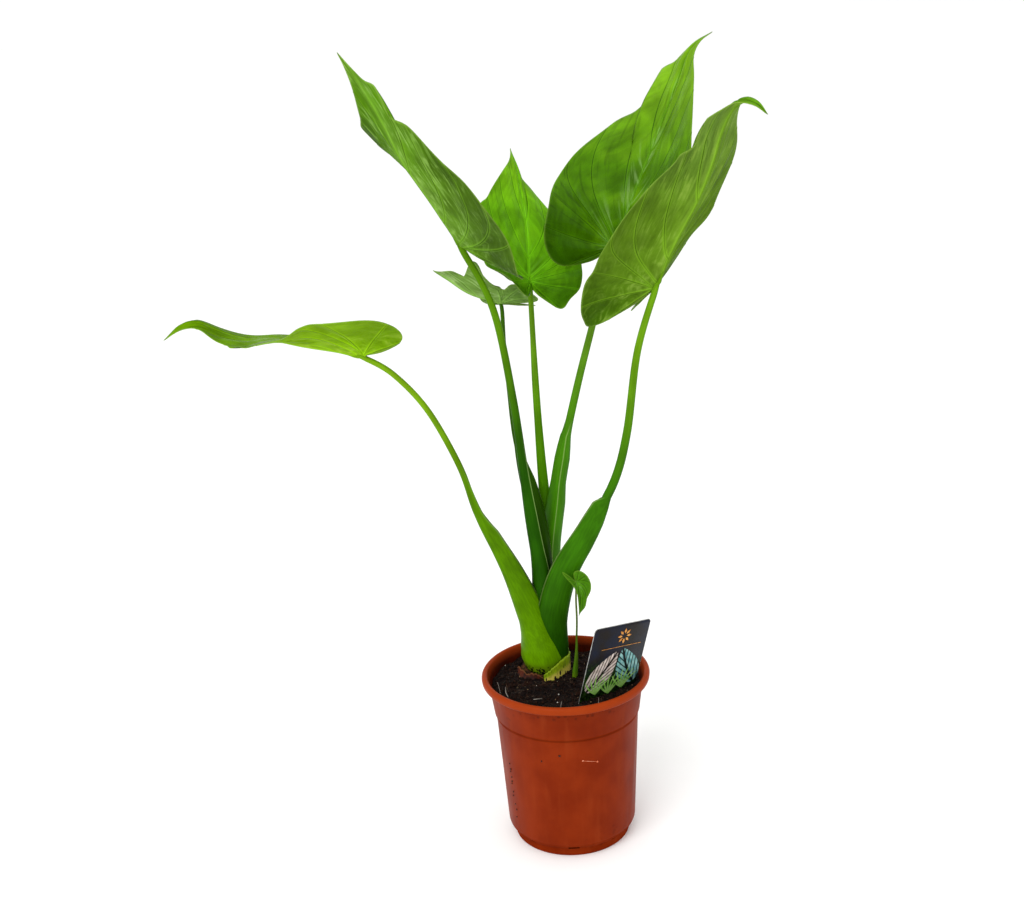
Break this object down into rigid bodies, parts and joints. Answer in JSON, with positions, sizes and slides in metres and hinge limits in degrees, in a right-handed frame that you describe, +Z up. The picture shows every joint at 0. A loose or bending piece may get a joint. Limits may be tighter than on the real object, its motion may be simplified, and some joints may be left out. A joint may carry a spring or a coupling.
{
  "type": "potted chinese taro",
  "caption": "Nursery pot of soil with a clump of heart-shaped taro leaves on long sheathing stalks, a young side shoot and a plant label.",
  "frame": {"origin": "centre of the pot's underside, on the surface that the pot stands on", "axes": "+Z up the pot's axis, -Y to the front of the picture, +X to its right"},
  "size_m": [0.5436, 0.3753, 0.7952],
  "materials": {
    "pot": "satin injection-moulded terracotta-coloured plastic",
    "soil": "rough, damp, crumbly",
    "corm": "rough",
    "husk": "dry and papery",
    "old_sheath": "dull, speckled",
    "petiole_a": "smooth, waxy",
    "petiole_b": "smooth, waxy",
    "petiole_c": "smooth, waxy",
    "petiole_d": "smooth, waxy",
    "petiole_e": "smooth, waxy",
    "petiole_f": "smooth, waxy",
    "blade_a": "waxy, semi-gloss above, duller and paler veined below",
    "blade_b": "waxy, semi-gloss above, duller and paler veined below",
    "blade_c": "waxy, semi-gloss above, duller and paler veined below",
    "blade_d": "waxy, semi-gloss above, duller and paler veined below",
    "blade_e": "waxy, semi-gloss above, duller and paler veined below",
    "blade_f": "waxy, semi-gloss above, duller and paler veined below",
    "shoot_petiole": "smooth, waxy",
    "shoot_blade": "waxy",
    "label": "glossy printed card"
  },
  "bodies": {
    "root": {"pot": "pot", "soil": "soil", "corm": "corm", "husk": "husk", "old_sheath": "old_sheath", "petiole_a": "petiole_a", "petiole_b": "petiole_b", "petiole_c": "petiole_c", "petiole_d": "petiole_d", "petiole_e": "petiole_e", "petiole_f": "petiole_f", "blade_a": "blade_a", "blade_b": "blade_b", "blade_c": "blade_c", "blade_d": "blade_d", "blade_e": "blade_e", "blade_f": "blade_f", "shoot_petiole": "shoot_petiole", "shoot_blade": "shoot_blade", "label": "label"}
  },
  "joints": []
}
